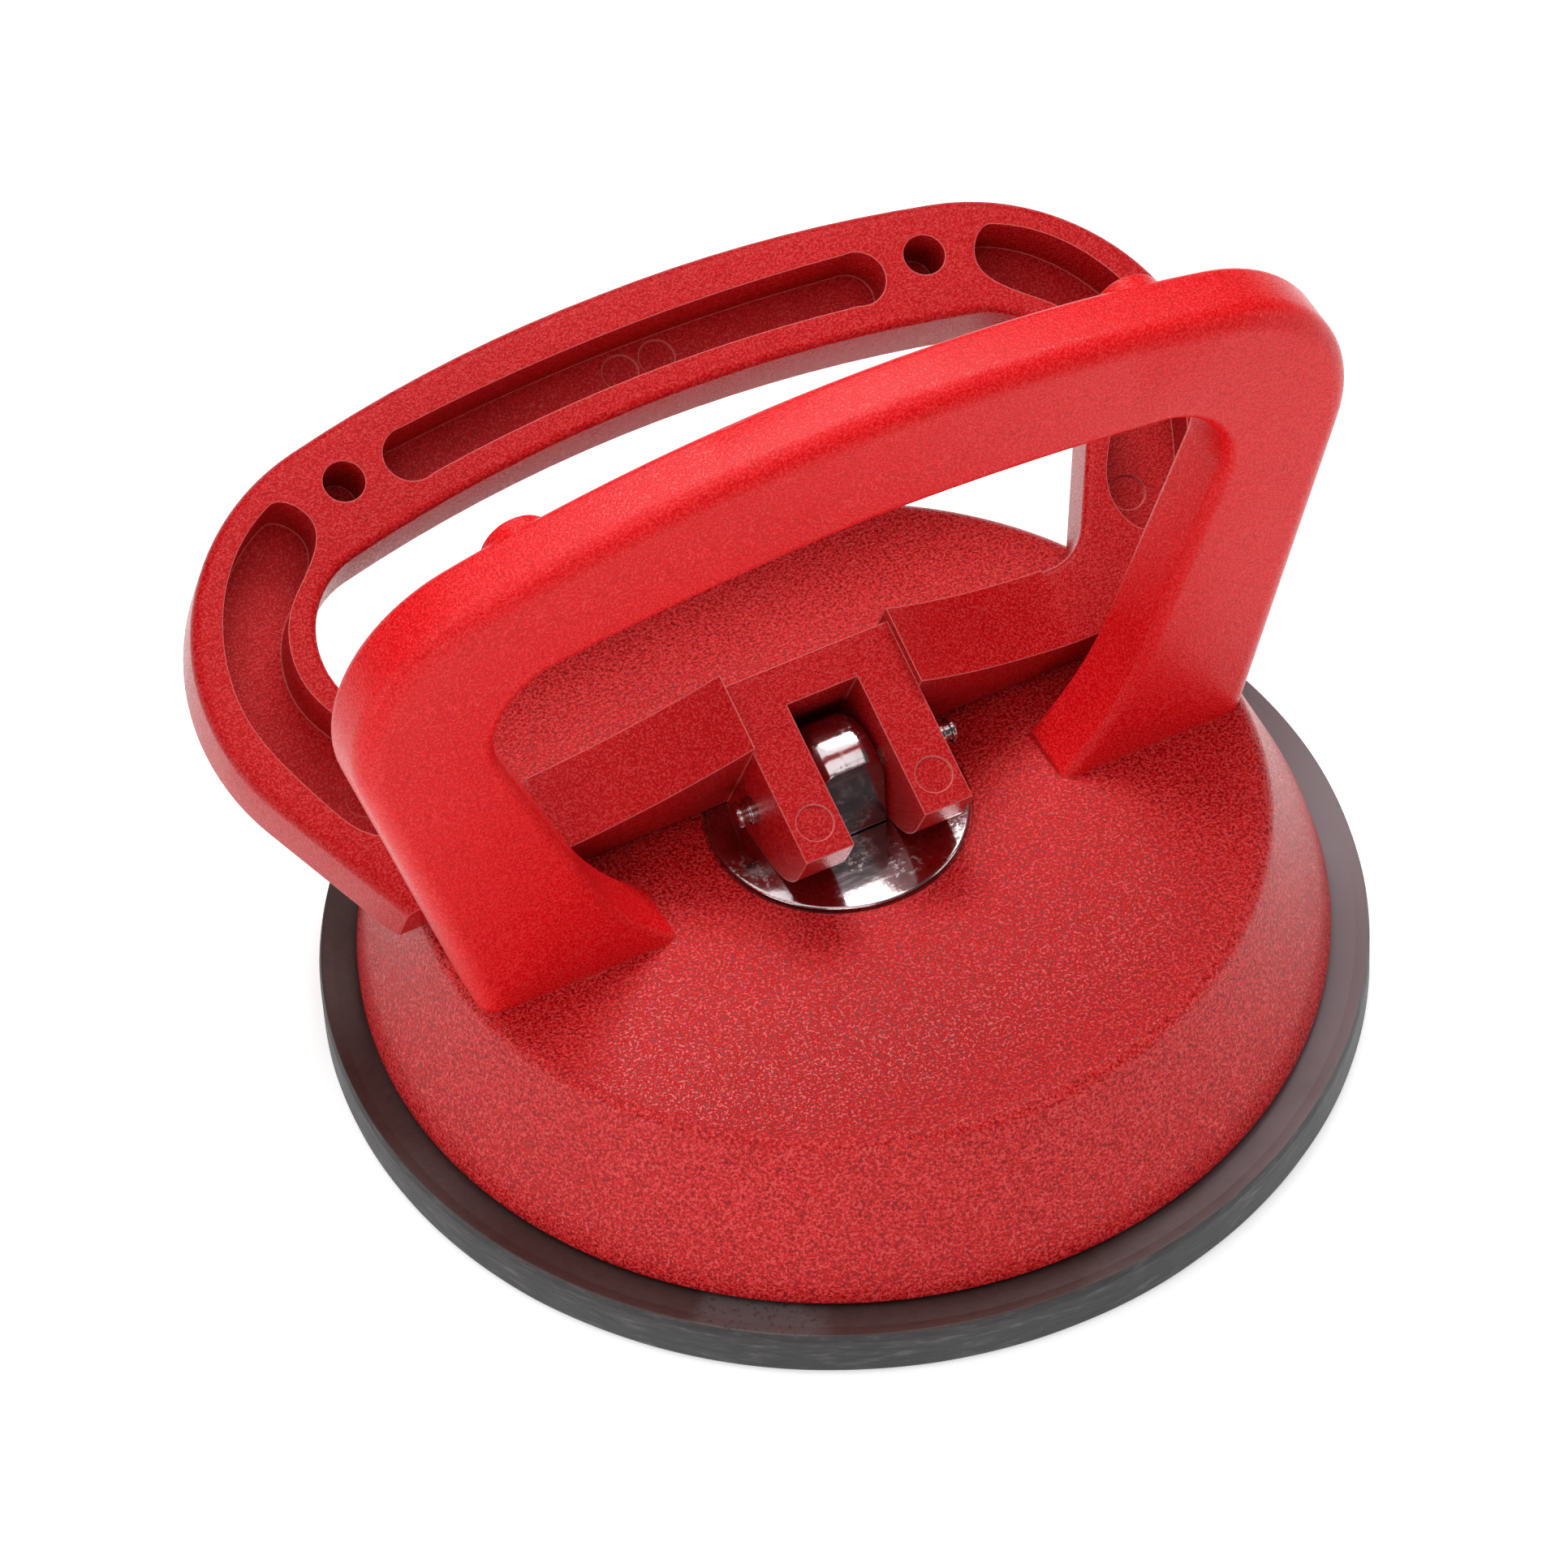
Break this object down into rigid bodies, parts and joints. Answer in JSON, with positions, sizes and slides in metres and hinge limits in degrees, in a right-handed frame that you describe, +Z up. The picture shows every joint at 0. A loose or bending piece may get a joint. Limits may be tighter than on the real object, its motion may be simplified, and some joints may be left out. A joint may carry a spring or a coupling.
{
  "type": "vacuum suction cup",
  "caption": "Hand suction lifter: rubber vacuum pad under a round plastic body with a fixed loop handle and a hinged looped lever that lifts the pad.",
  "frame": {"origin": "centre of the sealing face of the rubber pad", "axes": "+Z up, away from the held surface; +X along the fixed handle; +Y towards the grip of the open lever"},
  "size_m": [0.1226, 0.118, 0.0956],
  "materials": {
    "body": "moulded, fine spark-eroded grain, coarser on the top of the disc",
    "lever": "moulded, fine spark-eroded grain, smooth pockets",
    "rubber_pad": "soft moulded rubber, dusty from use",
    "wear_washer": "nickel plated, finely scratched",
    "lift_stud": "nickel plated, finely scratched",
    "insert_plate": "plain sheet steel, sealed in the rubber",
    "pivot_pin": "plated"
  },
  "bodies": {
    "housing": {"body": "body", "fixed_handle": "body", "wear_washer": "wear_washer", "rubber_pad": "rubber_pad"},
    "stud": {"lift_stud": "lift_stud", "insert_plate": "insert_plate", "pivot_pin": "pivot_pin"},
    "lever": {"lever": "lever"}
  },
  "joints": [
    {"name": "stud_lift", "type": "slide", "parent": "housing", "child": "stud", "axis": [0, 0, 1], "range_m": [0, 0.0046], "deforming": ["rubber_pad"]},
    {"name": "lever_swing", "type": "hinge", "parent": "stud", "child": "lever", "pos_m": [0, 0, 0.0315], "axis": [1, 0, 0], "range_deg": [0, 63.5]}
  ],
  "couplings": [
    {"joint": "stud_lift", "follows": "lever_swing", "m_per_rad": 0.00415}
  ]
}
